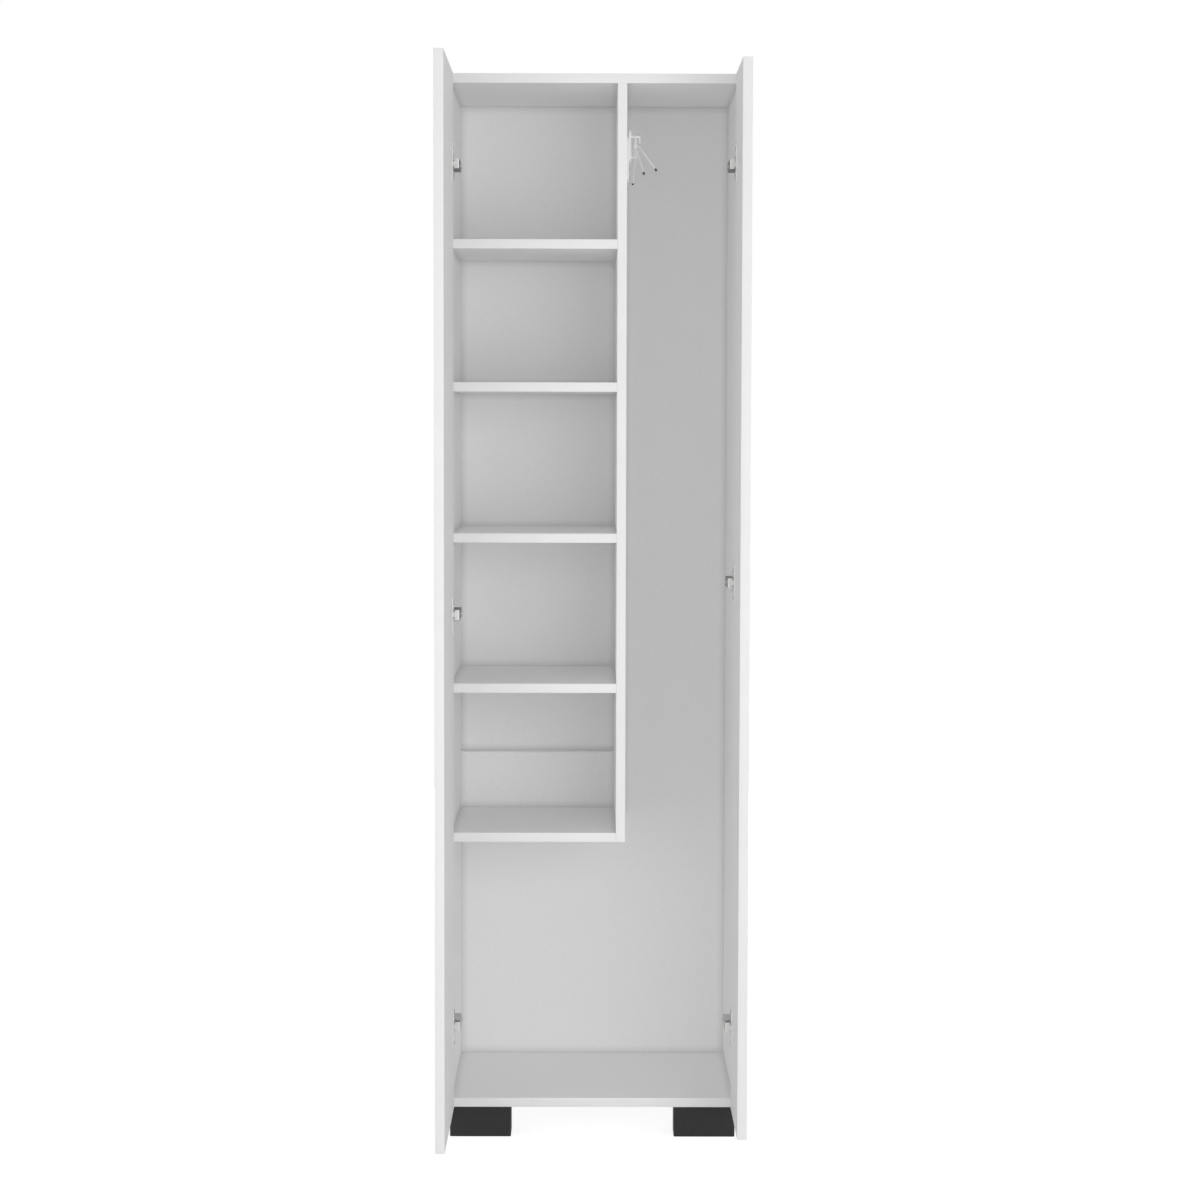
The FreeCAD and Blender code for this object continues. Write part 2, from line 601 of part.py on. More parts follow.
def hinge_plate(z):
    """Mounting plate screwed to the side board, with the block that carries the arm."""
    low, high = z - PLATE_HALF_WIDTH, z + PLATE_HALF_WIDTH
    base = hinge_box(0, PLATE_THICKNESS, PLATE_FRONT, PLATE_BACK, low, high)
    middle = hinge_point(0, PLATE_SCREW_V, z)
    wings = capsule(middle, PLATE_THICKNESS, PLATE_WING_LENGTH, PLATE_WING_WIDTH)
    low, high = z - BOSS_HALF_WIDTH, z + BOSS_HALF_WIDTH
    block = hinge_box(PLATE_THICKNESS, WEB_U, BOSS_FRONT, BOSS_BACK, low, high)
    plate = base.fuse([wings, block]).removeSplitter()
    holes = put(hole(SMALL_SHANK, PLATE_SCREW_REACH), plate_screw_places([z], -1))
    holes += put(hole(ARM_SCREW_RADIUS, ARM_SCREW_REACH), arm_screw_places([z], -1))
    return plate.cut(holes)


# ---- hook -------------------------------------------------------------------------------------------
def hook_point(s, z):
    return Vector(DIVIDER_RIGHT + s, HOOK_Y, z)


def hook_tab(s_end, z, lip_z):
    """Level tab from the rib; it ends in a lip down to lip_z, or in a half round about the pin."""
    length = s_end - HOOK_TAB_S
    corner = hook_point(HOOK_TAB_S, z) - Y_AXIS * HOOK_TAB_HALF_WIDTH
    tab = Part.makeBox(length, 2 * HOOK_TAB_HALF_WIDTH, HOOK_TAB_THICKNESS, corner)
    if lip_z is None:
        return tab.fuse(cylinder(hook_point(s_end, z), Z_AXIS, HOOK_TAB_HALF_WIDTH, HOOK_TAB_THICKNESS))
    lip_corner = hook_point(s_end - HOOK_LIP_THICKNESS, lip_z) - Y_AXIS * HOOK_TAB_HALF_WIDTH
    drop = z + HOOK_TAB_THICKNESS - lip_z
    lip = Part.makeBox(HOOK_LIP_THICKNESS, 2 * HOOK_TAB_HALF_WIDTH, drop, lip_corner)
    bracket = tab.fuse(lip).removeSplitter()
    bend = Vector(DIVIDER_RIGHT + s_end, HOOK_Y, z + HOOK_TAB_THICKNESS)
    edges = [edge for edge in bracket.Edges if edge.CenterOfMass.distanceToPoint(bend) < TOUCH]
    return bracket.makeFillet(HOOK_LIP_THICKNESS, edges)


def hook_plate():
    """Base with round ends, a raised rib whose upper end stands above it, and two tabs."""
    base_middle = (HOOK_BASE_BOTTOM + HOOK_BASE_TOP) / 2
    rib_middle = (HOOK_RIB_BOTTOM + HOOK_RIB_TOP) / 2
    base_length = HOOK_BASE_TOP - HOOK_BASE_BOTTOM
    rib_length = HOOK_RIB_TOP - HOOK_RIB_BOTTOM
    on_board = hook_point(0, base_middle)
    base = capsule(on_board, HOOK_BASE_THICKNESS, base_length, HOOK_BASE_WIDTH)
    on_base = hook_point(HOOK_BASE_THICKNESS, rib_middle)
    rib = capsule(on_base, HOOK_RIB_THICKNESS, rib_length, HOOK_RIB_WIDTH)
    upper = hook_tab(HOOK_LIP_S, HOOK_UPPER_TAB_Z, HOOK_LIP_Z)
    lower = hook_tab(HOOK_PIN_S, HOOK_LOWER_TAB_TOP - HOOK_TAB_THICKNESS, None)
    plate = base.fuse([rib, upper, lower]).removeSplitter()
    screws = put(hole(SMALL_SHANK, HOOK_SCREW_REACH), hook_screw_places())
    return plate.cut([hook_pin()] + screws)


def hook_pin():
    """Upright pin, riveted over above the upper tab and below the lower one."""
    top = HOOK_UPPER_TAB_Z + HOOK_TAB_THICKNESS
    bottom = HOOK_LOWER_TAB_TOP - HOOK_TAB_THICKNESS
    stem = cylinder(hook_point(HOOK_PIN_S, bottom), Z_AXIS, HOOK_PIN_RADIUS, top - bottom)
    heads = [cylinder(hook_point(HOOK_PIN_S, z), Z_AXIS, HOOK_PIN_HEAD_RADIUS, HOOK_PIN_HEAD_HEIGHT)
             for z in (top, bottom - HOOK_PIN_HEAD_HEIGHT)]
    return stem.fuse(heads)


def rod_end():
    """Where the sloping run starts, and its direction, for an arm that points along +X."""
    slope = math.radians(ROD_SLOPE)
    start = Vector(ROD_LEVEL + ROD_BEND * math.sin(slope), 0, -ROD_BEND * (1 - math.cos(slope)))
    return start, Vector(math.cos(slope), 0, -math.sin(slope))


def hook_arm():
    """Knuckle and bent rod, pointing along +X, with the knuckle's middle at the origin."""
    knuckle = cylinder(Vector(0, 0, -KNUCKLE_HEIGHT / 2), Z_AXIS, KNUCKLE_RADIUS, KNUCKLE_HEIGHT)
    start = Vector(HOOK_PIN_RADIUS, 0, 0)
    bend_start = Vector(ROD_LEVEL, 0, 0)
    bend_end, down = rod_end()
    half_slope = math.radians(ROD_SLOPE / 2)
    half_drop = ROD_BEND * (1 - math.cos(half_slope))
    half_way = Vector(ROD_LEVEL + ROD_BEND * math.sin(half_slope), 0, -half_drop)
    level = Part.LineSegment(start, bend_start).toShape()
    bend = Part.Arc(bend_start, half_way, bend_end).toShape()
    sloping = Part.LineSegment(bend_end, bend_end + down * (ROD_LENGTH - TIP_WALL)).toShape()
    section = Part.Wire([Part.makeCircle(ROD_RADIUS, start, X_AXIS)])
    rod = Part.Wire([level, bend, sloping]).makePipeShell([section], True, False)
    bore_radius = HOOK_PIN_RADIUS + RUNNING_CLEARANCE
    bore = cylinder(Vector(0, 0, -KNUCKLE_HEIGHT / 2), Z_AXIS, bore_radius, KNUCKLE_HEIGHT)
    return knuckle.fuse(rod).cut(bore)


def hook_tip():
    """Soft cap over the end of an arm that points along +X."""
    bend_end, down = rod_end()
    start = bend_end + down * (ROD_LENGTH - TIP_LENGTH)
    cap = cylinder(start, down, TIP_RADIUS, TIP_LENGTH)
    end = bend_end + down * ROD_LENGTH
    rim = [edge for edge in cap.Edges if edge.CenterOfMass.distanceToPoint(end) < TOUCH]
    cap = cap.makeFillet(TIP_ROUND, rim)
    return cap.cut(cylinder(start, down, ROD_RADIUS, TIP_LENGTH - TIP_WALL))


def on_hook_pin(shape, z, turn):
    """Arm or tip on the pin at a height, turned from straight out towards the front."""
    copy = shape.copy()
    copy.Placement = FreeCAD.Placement(hook_point(HOOK_PIN_S, z), FreeCAD.Rotation(Z_AXIS, -turn))
    return copy


# ---- the whole cupboard -----------------------------------------------------------------------------
def save_hinges():
    """Cups, arms and plates one by one; pins and screws together."""
    sides = (("left", LEFT_HINGE_HEIGHTS, -1), ("right", RIGHT_HINGE_HEIGHTS, 1))
    for name, heights, sign in sides:
        pins = []
        for level, z in heights.items():
            pieces = {"cup": hinge_cup(z), "arm": hinge_arm(z), "plate": hinge_plate(z)}
            pin = hinge_pin(z)
            if sign > 0:
                pieces = {piece: mirrored(shape) for piece, shape in pieces.items()}
                pin = mirrored(pin)
            pins.append(pin)
            for piece, shape in pieces.items():
                save(f"{name}_{level}_hinge_{piece}", shape)
        save(f"{name}_hinge_pins", *pins)
        screws = put(small_screw(CUP_SCREW_REACH), cup_screw_places(heights.values(), sign))
        save(f"{name}_cup_screws", *screws)
    save("hinge_plate_screws", *put(small_screw(PLATE_SCREW_REACH), on_both_sides(plate_screw_places)))
    save("hinge_arm_screws", *put(arm_screw(), on_both_sides(arm_screw_places)))


def save_hook():
    save("hook_plate", hook_plate())
    save("hook_pin", hook_pin())
    save("hook_screws", *put(small_screw(HOOK_SCREW_REACH), hook_screw_places()))
    z = TOP_KNUCKLE_Z
    for name, turn in HOOK_ARM_TURNS.items():
        save(f"hook_{name}_arm", on_hook_pin(hook_arm(), z, turn))
        save(f"hook_{name}_tip", on_hook_pin(hook_tip(), z, turn))
        z -= KNUCKLE_PITCH


def save_fasteners():
    save("panel_screws", *put(long_screw(), top_screw_places() + bottom_screw_places()))
    save("shelf_screws", *put(long_screw(), shelf_screw_places()))
    save("screw_covers", *put(cover(), top_screw_places() + shelf_screw_places()))
    save("dowels", *put(dowel(), dowel_places()))
    save("back_nails", *put(nail(), nail_places()))
    save("foot_screws", *put(small_screw(FOOT_SCREW_REACH), foot_screw_places()))


def main():
    os.makedirs("parts", exist_ok=True)
    for node, board in carcass().items():
        save(node, board)
    foot_holes = put(hole(SMALL_SHANK, FOOT_SCREW_REACH), foot_screw_places())
    for node, (x0, d0) in foot_corners().items():
        save(node, foot(x0, d0, foot_holes))
    save("left_door", door(LEFT_DOOR_WIDTH, LEFT_HINGE_HEIGHTS))
    save("right_door", mirrored(door(RIGHT_DOOR_WIDTH, RIGHT_HINGE_HEIGHTS)))
    save_hinges()
    save_hook()
    save_fasteners()


main()
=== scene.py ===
"""Broom cupboard: finishes, edge strips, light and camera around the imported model.

Lengths are in metres, with +X to the right, +Y towards the back and +Z up.
"""
import math

import bpy
import numpy as np
from mathutils import Matrix, Vector


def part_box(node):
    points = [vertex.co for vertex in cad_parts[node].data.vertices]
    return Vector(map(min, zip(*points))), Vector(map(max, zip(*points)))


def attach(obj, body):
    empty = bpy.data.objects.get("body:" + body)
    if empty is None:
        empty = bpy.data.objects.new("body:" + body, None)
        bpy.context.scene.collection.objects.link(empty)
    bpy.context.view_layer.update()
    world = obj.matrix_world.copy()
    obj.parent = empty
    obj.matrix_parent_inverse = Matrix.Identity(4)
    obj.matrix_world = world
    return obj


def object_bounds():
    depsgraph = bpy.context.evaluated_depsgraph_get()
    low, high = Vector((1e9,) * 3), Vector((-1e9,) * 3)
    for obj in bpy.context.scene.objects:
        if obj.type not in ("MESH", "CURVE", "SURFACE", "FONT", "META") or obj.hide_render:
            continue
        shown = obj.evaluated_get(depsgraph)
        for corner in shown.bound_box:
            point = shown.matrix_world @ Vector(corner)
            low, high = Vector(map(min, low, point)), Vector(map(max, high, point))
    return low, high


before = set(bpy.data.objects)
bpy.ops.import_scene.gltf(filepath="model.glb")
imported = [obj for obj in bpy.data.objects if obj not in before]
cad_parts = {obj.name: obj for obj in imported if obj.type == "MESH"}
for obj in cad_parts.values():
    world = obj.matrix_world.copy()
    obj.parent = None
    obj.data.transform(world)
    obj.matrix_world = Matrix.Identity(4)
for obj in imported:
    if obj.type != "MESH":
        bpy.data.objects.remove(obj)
CAD_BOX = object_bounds()

bl_info = {
    "name": "Broom cupboard",
    "version": (1, 0, 0),
    "blender": (4, 5, 0),
    "location": "View3D > Sidebar > Cupboard",
    "description": "Finishes, edge strips and stage of a broom cupboard",
    "category": "Add Mesh",
}

LEVELS = ("top", "middle", "bottom")
SIDES = ("left", "right")
SHELVES = ("low_shelf", "shelf_1", "shelf_2", "shelf_3", "shelf_4")
PANELS = ("top_panel", "bottom_panel")
SIDE_BOARDS = ("left_side", "right_side")
UPRIGHTS = SIDE_BOARDS + ("divider",)
BOARDS = SHELVES + PANELS + UPRIGHTS + ("back_rail", "left_door", "right_door")
FEET = ("front_left_foot", "front_right_foot", "rear_left_foot", "rear_right_foot")
HOOK_ARMS = ("upper", "middle", "lower")
MIDDLE_HEIGHT = (CAD_BOX[0][2] + CAD_BOX[1][2]) / 2
LEFTWARD, RIGHTWARD = (-1, 0, 0), (1, 0, 0)
FORWARD, BACKWARD = (0, -1, 0), (0, 1, 0)
DOWNWARD, UPWARD = (0, 0, -1), (0, 0, 1)

SKIN = 0.00005                      # between a face and the limit that tells it from the rest
NOISE_RANGE = (0.3, 0.7)            # most of a noise pattern lies between these
FULL_NOISE_RANGE = (0.25, 0.75)     # nearly all of it lies between these
COLOUR_A, COLOUR_B, MIXED = 6, 7, 2     # numbers of a Mix node's sockets for colours
WHITE = (1.0, 1.0, 1.0, 1.0)
OCCLUSION_SAMPLES = 8               # rays that look for an inner corner from each point, for the painted corner shade
PRESSED_SHARE = 0.55                # size of the pressed relief's features over the speckle's
ROUNDING_STEPS = 5                  # points round a strip's rounded edge
CORNER_STEPS = 6                    # places of a strip's profile round a corner
SMOOTH_ANGLE = math.radians(35)     # faces that meet at less are shaded as one


# ---- sizes and colours a user would change ---------------------------------------------------
class BoardSettings(bpy.types.PropertyGroup):
    """Colours and surface of the boards and doors"""
    colour: bpy.props.FloatVectorProperty(
        name="Board colour", description="Colour of the melamine face",
        default=(0.89, 0.89, 0.89), size=3, min=0.0, max=1.0, subtype="COLOR")
    speckle_size: bpy.props.FloatProperty(
        name="Speckle size", description="Size of the face's fine speckle",
        default=0.0026, min=0.0005, max=0.02, unit="LENGTH")
    speckle: bpy.props.FloatProperty(
        name="Speckle", description="How far the speckle departs from the colour",
        default=0.035, min=0.0, max=0.3, subtype="FACTOR")
    peel: bpy.props.FloatProperty(
        name="Relief", description="Height of the pressed relief on the face",
        default=0.00003, min=0.0, max=0.001, unit="LENGTH")
    roughness: bpy.props.FloatProperty(
        name="Roughness", description="Roughness of the melamine face",
        default=0.7, min=0.0, max=1.0, subtype="FACTOR")
    # Painted shade: the next two settings darken the colour of the boards and back sheet in the inner
    # corners, standing in for the shade there.
    painted_shade: bpy.props.FloatProperty(
        name="Corner dust", description="How far dust darkens the inner corners",
        default=0.16, min=0.0, max=1.0, subtype="FACTOR")
    painted_shade_reach: bpy.props.FloatProperty(
        name="Dust reach", description="How far from an inner corner the dust shows",
        default=0.014, min=0.001, max=0.1, unit="LENGTH")
    core_colour: bpy.props.FloatVectorProperty(
        name="Core colour", description="Colour of the bare chipboard along the back edges",
        default=(0.46, 0.33, 0.19), size=3, min=0.0, max=1.0, subtype="COLOR")


class StripSettings(bpy.types.PropertyGroup):
    """Colour and section of the edge strips"""
    colour: bpy.props.FloatVectorProperty(
        name="Strip colour", description="Colour of the edge strips",
        default=(0.9, 0.9, 0.9), size=3, min=0.0, max=1.0, subtype="COLOR")
    reach: bpy.props.FloatProperty(
        name="Strip thickness", description="Thickness of an edge strip",
        default=0.001, min=0.0004, max=0.003, unit="LENGTH")
    proud: bpy.props.FloatProperty(
        name="Stands proud", description="How far a strip stands out of the board",
        default=0.00005, min=0.00001, max=0.0005, unit="LENGTH")
    rounding: bpy.props.FloatProperty(
        name="Rounding", description="Radius along a strip's edges",
        default=0.0008, min=0.0001, max=0.001, unit="LENGTH")


class BackSettings(bpy.types.PropertyGroup):
    """Colours of the back sheet's two faces"""
    inner_colour: bpy.props.FloatVectorProperty(
        name="Inner colour", description="Colour of the back sheet's lacquered face",
        default=(0.89, 0.89, 0.89), size=3, min=0.0, max=1.0, subtype="COLOR")
    outer_colour: bpy.props.FloatVectorProperty(
        name="Outer colour", description="Colour of the back sheet's bare face",
        default=(0.36, 0.235, 0.13), size=3, min=0.0, max=1.0, subtype="COLOR")


class FootSettings(bpy.types.PropertyGroup):
    """Colour and surface of the feet"""
    colour: bpy.props.FloatVectorProperty(
        name="Foot colour", description="Colour of the moulded feet",
        default=(0.016, 0.016, 0.016), size=3, min=0.0, max=1.0, subtype="COLOR")
    grain_size: bpy.props.FloatProperty(
        name="Grain size", description="Size of the moulded grain",
        default=0.0012, min=0.0002, max=0.01, unit="LENGTH")
    roughness: bpy.props.FloatProperty(
        name="Roughness", description="Roughness of the moulded plastic",
        default=0.55, min=0.0, max=1.0, subtype="FACTOR")


class MetalSettings(bpy.types.PropertyGroup):
    """Colours of the metal, of the painted shade on the hinge arms' sides and of the soft tips"""
    nickel_colour: bpy.props.FloatVectorProperty(
        name="Nickel colour", description="Colour of the hinges' bright plating",
        default=(0.68, 0.68, 0.67), size=3, min=0.0, max=1.0, subtype="COLOR")
    cup_colour: bpy.props.FloatVectorProperty(
        name="Cup colour", description="Colour of the cups' smooth plating",
        default=(0.88, 0.88, 0.87), size=3, min=0.0, max=1.0, subtype="COLOR")
    # Painted shade: the arms' sides are darkened behind their front, standing in for the shade they lie
    # in.
    arm_side_painted_shade: bpy.props.FloatVectorProperty(
        name="Dull colour",
        description="Colour of the duller plating on the sides of the top and middle arms",
        default=(0.28, 0.28, 0.275), size=3, min=0.0, max=1.0, subtype="COLOR")
    # Painted light and shade: the bottom arms' sides are lighter than the others', as they catch more
    # light from above.
    low_arm_side_painted_shade: bpy.props.FloatVectorProperty(
        name="Low dull colour",
        description="Colour of the duller plating on the sides of the bottom arms",
        default=(0.62, 0.62, 0.61), size=3, min=0.0, max=1.0, subtype="COLOR")
    zinc_colour: bpy.props.FloatVectorProperty(
        name="Zinc colour", description="Colour of the screws' plating",
        default=(0.5, 0.5, 0.51), size=3, min=0.0, max=1.0, subtype="COLOR")
    chrome_colour: bpy.props.FloatVectorProperty(
        name="Hook colour", description="Colour of the hook's plating",
        default=(0.96, 0.96, 0.96), size=3, min=0.0, max=1.0, subtype="COLOR")
    tip_colour: bpy.props.FloatVectorProperty(
        name="Tip colour", description="Colour of the soft tips",
        default=(0.085, 0.085, 0.085), size=3, min=0.0, max=1.0, subtype="COLOR")


class StageSettings(bpy.types.PropertyGroup):
    """Camera, floor and light"""
    eye: bpy.props.FloatVectorProperty(
        name="Camera place", description="Where the camera stands",
        default=(-0.00449, -4.70266, 1.23357), size=3, unit="LENGTH", subtype="TRANSLATION")
    turn: bpy.props.FloatProperty(
        name="Turn", description="Camera's turn to the right of straight back",
        default=math.radians(0.1922), subtype="ANGLE", unit="ROTATION")
    tilt: bpy.props.FloatProperty(
        name="Tilt", description="Camera's tilt above level",
        default=math.radians(-3.6503), subtype="ANGLE", unit="ROTATION")
    roll: bpy.props.FloatProperty(
        name="Roll", description="Camera's roll about its own axis",
        default=math.radians(0.1397), subtype="ANGLE", unit="ROTATION")
    lens: bpy.props.FloatProperty(
        name="Focal length", description="Focal length on a 36 mm sensor, in millimetres",
        default=81.937, min=10.0, max=300.0)
    floor_size: bpy.props.FloatProperty(
        name="Floor size", description="Length of the floor's sides",
        default=24.0, min=4.0, max=100.0, unit="LENGTH")
    sky: bpy.props.FloatProperty(
        name="Sky strength", description="Strength of the even light all round",
        default=0.53, min=0.0, max=3.0)
    key_power: bpy.props.FloatProperty(
        name="Front lamp", description="Power of the right lamp in front, in watts",
        default=43.0, min=0.0, max=2000.0)
    left_share: bpy.props.FloatProperty(
        name="Left lamp's share",
        description="Power of the left front lamp as a share of the right one's",
        default=0.64, min=0.0, max=2.0, subtype="FACTOR")
    fill_power: bpy.props.FloatProperty(
        name="Outer lamps", description="Power of each of the three lamps behind, in watts",
        default=40.0, min=0.0, max=2000.0)
    bounces: bpy.props.IntProperty(
        name="Light bounces", description="How often light is passed on between the white boards",
        default=12, min=4, max=32)


GROUPS = {
    "board": BoardSettings,
    "strip": StripSettings,
    "back": BackSettings,
    "foot": FootSettings,
    "metal": MetalSettings,
    "stage": StageSettings,
}


class CupboardSettings(bpy.types.PropertyGroup):
    """All settings, one group for each piece of the cupboard and one for its stage"""
    board: bpy.props.PointerProperty(type=BoardSettings)
    strip: bpy.props.PointerProperty(type=StripSettings)
    back: bpy.props.PointerProperty(type=BackSettings)
    foot: bpy.props.PointerProperty(type=FootSettings)
    metal: bpy.props.PointerProperty(type=MetalSettings)
    stage: bpy.props.PointerProperty(type=StageSettings)


# ---- material helpers ------------------------------------------------------------------------
class Recipe:
    """A material's node tree, built one node at a time, ending in a Principled shader."""

    def __init__(self, name, **constants):
        self.material = bpy.data.materials.new(name)
        self.material.use_nodes = True
        self.tree = self.material.node_tree
        self.tree.nodes.clear()
        self.shader = self.add("ShaderNodeBsdfPrincipled", **constants)
        output = self.add("ShaderNodeOutputMaterial")
        self.link(self.shader.outputs["BSDF"], output.inputs["Surface"])
        self.place = self.add("ShaderNodeTexCoord").outputs["Object"]

    def add(self, kind, **values):
        """New node with values set on its sockets; an underscore stands for a space in a name."""
        node = self.tree.nodes.new(kind)
        for name, value in values.items():
            node.inputs[name.replace("_", " ")].default_value = value
        return node

    def link(self, start, end):
        """Link a node's output to another's input."""
        self.tree.links.new(start, end)

    def feed(self, name, start):
        """Link a value into the shader's own socket."""
        self.link(start, self.shader.inputs[name])

    def noise(self, size, detail=2.0, roughness=0.5, stretch=None):
        """Cloudy pattern with features of one size; stretch scales the place along each axis."""
        node = self.add("ShaderNodeTexNoise", Scale=1.0 / size, Detail=detail, Roughness=roughness)
        start = self.place
        if stretch:
            scaled = self.add("ShaderNodeMapping", Scale=stretch)
            self.link(start, scaled.inputs["Vector"])
            start = scaled.outputs["Vector"]
        self.link(start, node.inputs["Vector"])
        return node.outputs["Fac"]

    def flecks(self, size):
        """Cells of random tone, as of pressed chips."""
        node = self.add("ShaderNodeTexVoronoi", Scale=1.0 / size)
        self.link(self.place, node.inputs["Vector"])
        apart = self.add("ShaderNodeSeparateColor")
        self.link(node.outputs["Color"], apart.inputs["Color"])
        return apart.outputs["Red"]

    def spread(self, start, low, high, to_low, to_high):
        """Map a range of a pattern onto another range, held at its ends."""
        node = self.add("ShaderNodeMapRange",
                        From_Min=low, From_Max=high, To_Min=to_low, To_Max=to_high)
        self.link(start, node.inputs["Value"])
        return node.outputs["Result"]

    def vary(self, noise, low, high):
        """Map a noise pattern onto a range."""
        return self.spread(noise, *NOISE_RANGE, low, high)

    def speckle(self, board):
        """Tone of the white faces' fine speckle, on either side of 1."""
        pattern = self.noise(board.speckle_size, detail=3.0, roughness=0.6)
        return self.spread(pattern, *FULL_NOISE_RANGE, 1.0 - board.speckle, 1.0 + board.speckle)

    def times(self, start, other):
        """Product of two values."""
        node = self.tree.nodes.new("ShaderNodeMath")
        node.operation = "MULTIPLY"
        self.link(start, node.inputs[0])
        self.link(other, node.inputs[1])
        return node.outputs[0]

    def shade(self, colour, factor):
        """Colour made lighter or darker by a factor that varies over the surface."""
        node = self.tree.nodes.new("ShaderNodeVectorMath")
        node.operation = "SCALE"
        if isinstance(colour, bpy.types.NodeSocket):
            self.link(colour, node.inputs[0])
        else:
            node.inputs[0].default_value = colour
        self.link(factor, node.inputs["Scale"])
        return node.outputs["Vector"]

    def choose(self, mask, first, second):
        """First colour where the mask is 0, second where it is 1."""
        node = self.tree.nodes.new("ShaderNodeMix")
        node.data_type = "RGBA"
        self.link(mask, node.inputs["Factor"])
        for index, colour in ((COLOUR_A, first), (COLOUR_B, second)):
            if isinstance(colour, bpy.types.NodeSocket):
                self.link(colour, node.inputs[index])
            else:
                node.inputs[index].default_value = (*colour, 1.0)
        return node.outputs[MIXED]

    def part_of_place(self, axis):
        """The place along one axis, X, Y or Z."""
        apart = self.tree.nodes.new("ShaderNodeSeparateXYZ")
        self.link(self.place, apart.inputs["Vector"])
        return apart.outputs[axis]

    def above(self, value, limit):
        """1 where a value is greater than a limit."""
        node = self.tree.nodes.new("ShaderNodeMath")
        node.operation = "GREATER_THAN"
        node.inputs[1].default_value = limit
        self.link(value, node.inputs[0])
        return node.outputs[0]

    def behind(self, depth):
        """1 where the surface lies further back than a depth."""
        return self.above(self.part_of_place("Y"), depth)

    def painted_corner_shade(self, board):
        """Painted shade: 1 in the open, less by the shade's share where surfaces meet at a square inner
        corner, where less light reaches.
        """
        node = self.add("ShaderNodeAmbientOcclusion", Distance=board.painted_shade_reach)
        node.samples = OCCLUSION_SAMPLES
        square_corner, open_face = 0.5, 1.0
        return self.spread(node.outputs["AO"], square_corner, open_face, 1.0 - board.painted_shade, 1.0)

    def relief(self, height, pattern):
        """Bump of a height in metres."""
        node = self.add("ShaderNodeBump", Strength=1.0, Distance=height)
        self.link(pattern, node.inputs["Height"])
        return node.outputs["Normal"]

    def pressed_face(self, board):
        """Relief of the white faces, finer than their speckle."""
        return self.relief(board.peel, self.noise(board.speckle_size * PRESSED_SHARE))

    def grained(self, colour, pattern, tone, roughness):
        """Feed colour and roughness from one noise pattern; tone and roughness are low, high pairs."""
        self.feed("Base Color", self.shade(colour, self.vary(pattern, *tone)))
        self.feed("Roughness", self.vary(pattern, *roughness))


def grey(tone):
    """Opaque colour of one grey tone."""
    return (tone, tone, tone, 1.0)


def finish(nodes, material):
    """Give CAD nodes one material."""
    for name in nodes:
        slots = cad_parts[name].data.materials
        slots.clear()
        slots.append(material)


# ---- surface helpers -------------------------------------------------------------------------
def grid_faces(rows, columns, wrap_rows):
    """Quads over a grid of points whose columns wrap round; rows wrap too if asked."""
    row = np.arange(rows if wrap_rows else rows - 1)[:, None]
    column = np.arange(columns)[None, :]
    after_row = (row + 1) % rows
    after_column = (column + 1) % columns
    corners = (row * columns + column, row * columns + after_column,
               after_row * columns + after_column, after_row * columns + column)
    return np.stack(np.broadcast_arrays(*corners), axis=-1).reshape(-1, 4)


def tube_mesh(name, points, closed):
    """Mesh of a closed profile carried along a path: points is an array of path x profile x 3."""
    rows, columns = points.shape[:2]
    faces = grid_faces(rows, columns, closed).tolist()
    if not closed:
        faces.append(list(range(columns))[::-1])
        faces.append(list(range((rows - 1) * columns, rows * columns)))
    mesh = bpy.data.meshes.new(name)
    mesh.from_pydata(points.reshape(-1, 3).tolist(), [], faces)
    return mesh


def strip_profile(half_width, settings):
    """Cross-section of an edge strip, as pairs of across and outward.

    Two quarter circles of the rounding's radius, centred a radius inside the strip's outer
    corners, joined by straight lines and closed along the strip's inner face.
    """
    side = half_width + settings.proud
    outer = settings.reach + settings.proud
    radius = settings.rounding
    angle = np.linspace(0.0, math.pi / 2, ROUNDING_STEPS)
    across = -side + radius - radius * np.cos(angle)
    outward = outer - radius + radius * np.sin(angle)
    across = np.concatenate([[-side], across, -across[::-1], [side]])
    outward = np.concatenate([[0.0], outward, outward[::-1], [0.0]])
    return np.stack([across, outward], axis=-1)


def carried(path, normals, across, profile):
    """Profile carried along a path: point = path + across * a + normal * b, for each pair a, b."""
    sideways = np.asarray(across)[None, None, :] * profile[None, :, :1]
    return path[:, None, :] + sideways + normals[:, None, :] * profile[None, :, 1:]


def round_corners(corners, ways):
    """Path round square corners: the point stays at a corner while the normal turns.

    corners holds the path's points; ways holds the outward normal of the run before and after
    each, and the normal between them is the two weighted by the cosine and sine of the turn.
    """
    turn = np.linspace(0.0, math.pi / 2, CORNER_STEPS)[:, None]
    points, normals = [], []
    for corner, (before, after) in zip(corners, ways):
        count = 1 if before is after else CORNER_STEPS
        points.append(np.repeat(np.array([corner], float), count, axis=0))
        part = turn[:count]
        turned = np.cos(part) * np.array(before, float) + np.sin(part) * np.array(after, float)
        normals.append(turned)
    return np.concatenate(points), np.concatenate(normals)


def joined(name, meshes):
    """One object from several meshes, with rounded parts smooth and flat parts flat."""
    vertices, faces, start = [], [], 0
    for mesh in meshes:
        block = np.empty(len(mesh.vertices) * 3)
        mesh.vertices.foreach_get("co", block)
        vertices += block.reshape(-1, 3).tolist()
        faces += [[index + start for index in polygon.vertices] for polygon in mesh.polygons]
        start += len(mesh.vertices)
        bpy.data.meshes.remove(mesh)
    whole = bpy.data.meshes.new(name)
    whole.from_pydata(vertices, [], faces)
    whole.shade_smooth()
    whole.set_sharp_from_angle(angle=SMOOTH_ANGLE)
    piece = bpy.data.objects.new(name, whole)
    bpy.context.scene.collection.objects.link(piece)
    return piece


